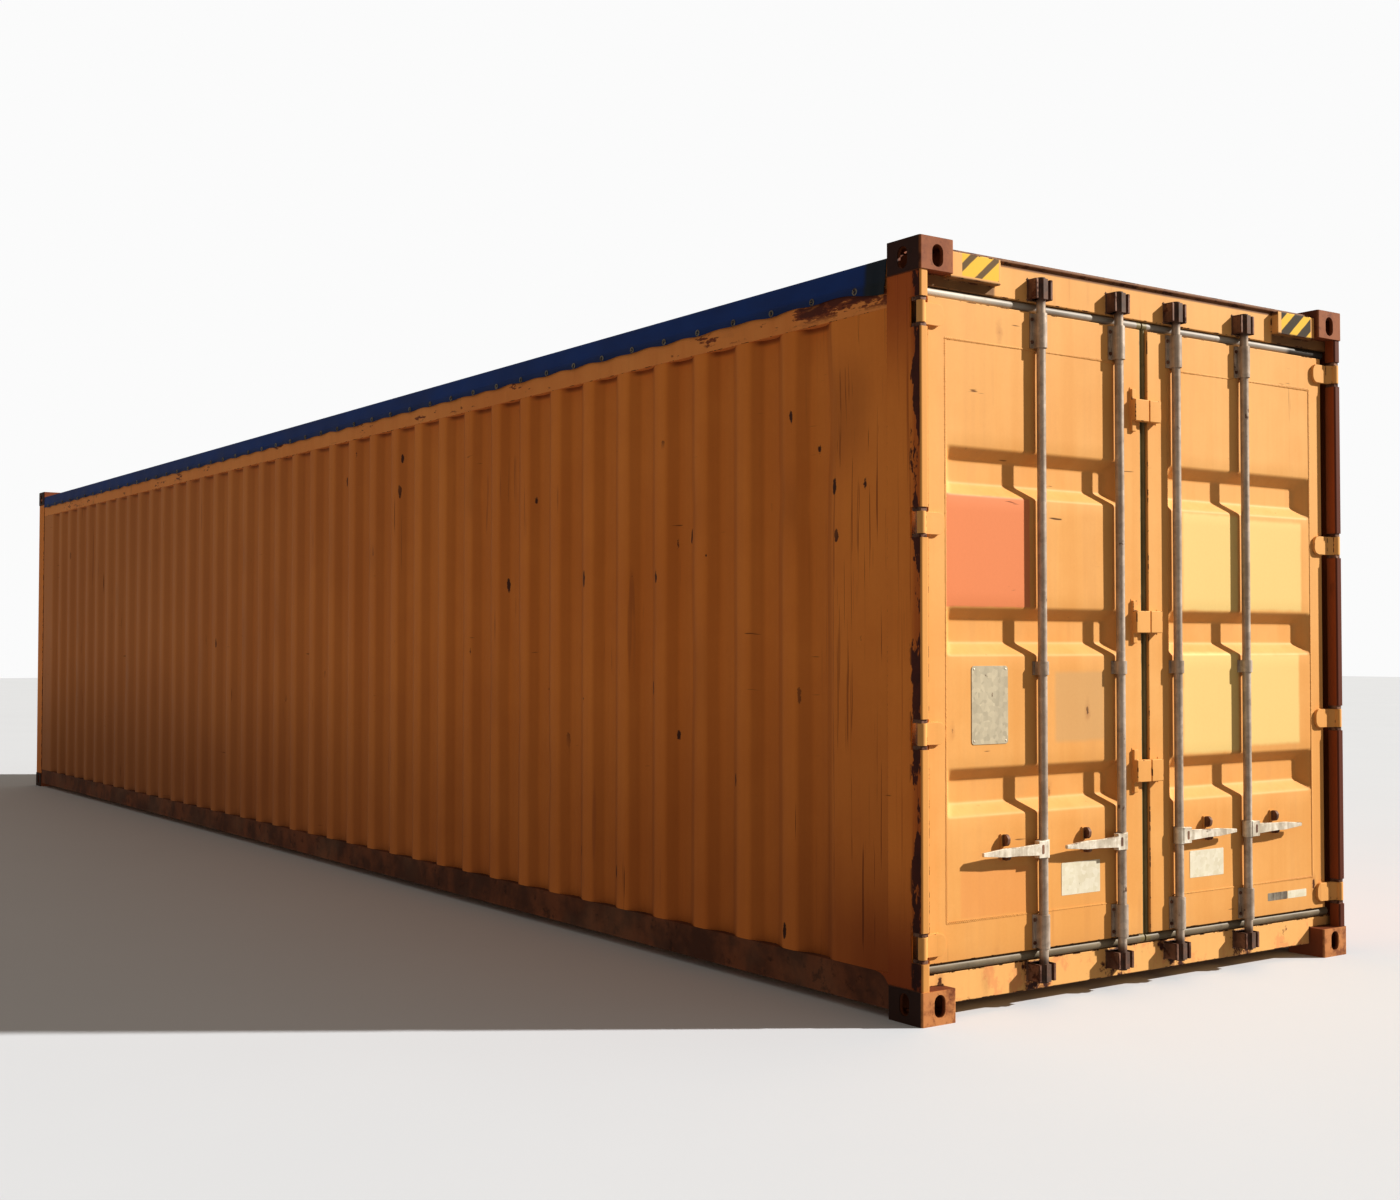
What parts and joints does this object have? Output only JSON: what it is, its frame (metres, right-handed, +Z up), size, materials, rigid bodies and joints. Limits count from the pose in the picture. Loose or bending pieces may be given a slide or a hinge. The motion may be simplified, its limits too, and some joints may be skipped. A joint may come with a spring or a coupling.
{
  "type": "open-top shipping container",
  "caption": "Long open-top cargo container with corrugated sides, hinged rear doors, lock bars with handles, corner castings and a tarpaulin roof.",
  "frame": {"origin": "middle of the base, level with the bottom faces of the bottom corner castings", "axes": "+X towards the door end along the container, +Y towards its right side seen from the doors, +Z up"},
  "size_m": [12.192, 2.438, 2.743],
  "materials": {
    "orange_paint": "sun-faded orange paint, scratched, with rust at edges and dents",
    "casting_paint": "orange paint worn to brown steel",
    "underframe_paint": "dark brown underframe coating",
    "bare_steel": "bare turned steel",
    "galvanised": "dull galvanised steel with orange overspray",
    "forged_steel": "forged steel, rusty brown",
    "gasket_rubber": "weathered grey rubber",
    "plywood": "worn marine plywood",
    "tarpaulin": "navy coated fabric"
  },
  "bodies": {
    "container": {"bottom_castings": "casting_paint", "cam_keepers": "forged_steel", "cross_members": "underframe_paint", "door_header": "orange_paint", "door_sill": "orange_paint", "floor": "plywood", "front_posts": "orange_paint", "front_sill": "underframe_paint", "front_top_rail": "orange_paint", "front_wall": "orange_paint", "gooseneck_tunnel": "underframe_paint", "hinge_pins": "bare_steel", "left_bottom_rail": "underframe_paint", "left_rear_post": "orange_paint", "left_side_wall": "orange_paint", "left_top_rail": "orange_paint", "right_bottom_rail": "underframe_paint", "right_rear_post": "orange_paint", "right_side_wall": "orange_paint", "right_top_rail": "orange_paint", "roof_bows": "galvanised", "tarpaulin": "tarpaulin", "top_castings": "casting_paint"},
    "left_door": {"left_bar_bearings": "galvanised", "left_door_frame": "orange_paint", "left_door_gasket": "gasket_rubber", "left_door_panel": "orange_paint", "left_handle_catches": "galvanised", "left_hinges": "orange_paint", "left_rack_blocks": "forged_steel"},
    "right_door": {"right_bar_bearings": "galvanised", "right_door_frame": "orange_paint", "right_door_gasket": "gasket_rubber", "right_door_panel": "orange_paint", "right_handle_catches": "galvanised", "right_hinges": "orange_paint", "right_rack_blocks": "forged_steel"},
    "left_outer_bar": {"left_outer_handle": "galvanised", "left_outer_lock_bar": "galvanised"},
    "left_inner_bar": {"left_inner_handle": "galvanised", "left_inner_lock_bar": "galvanised"},
    "right_inner_bar": {"right_inner_handle": "galvanised", "right_inner_lock_bar": "galvanised"},
    "right_outer_bar": {"right_outer_handle": "galvanised", "right_outer_lock_bar": "galvanised"}
  },
  "joints": [
    {"name": "left_door_hinge", "type": "hinge", "parent": "container", "child": "left_door", "pos_m": [6.076, -1.197, 1.376], "axis": [0, 0, -1], "range_deg": [0, 260]},
    {"name": "right_door_hinge", "type": "hinge", "parent": "container", "child": "right_door", "pos_m": [6.076, 1.197, 1.376], "axis": [0, 0, 1], "range_deg": [0, 260]},
    {"name": "left_outer_bar_turn", "type": "hinge", "parent": "left_door", "child": "left_outer_bar", "pos_m": [6.069, -0.593, 1.376], "axis": [0, 0, -1], "range_deg": [-100, 0]},
    {"name": "left_inner_bar_turn", "type": "hinge", "parent": "left_door", "child": "left_inner_bar", "pos_m": [6.069, -0.167, 1.376], "axis": [0, 0, -1], "range_deg": [-100, 0]},
    {"name": "right_inner_bar_turn", "type": "hinge", "parent": "right_door", "child": "right_inner_bar", "pos_m": [6.069, 0.167, 1.376], "axis": [0, 0, 1], "range_deg": [-100, 0]},
    {"name": "right_outer_bar_turn", "type": "hinge", "parent": "right_door", "child": "right_outer_bar", "pos_m": [6.069, 0.593, 1.376], "axis": [0, 0, 1], "range_deg": [-100, 0]}
  ]
}
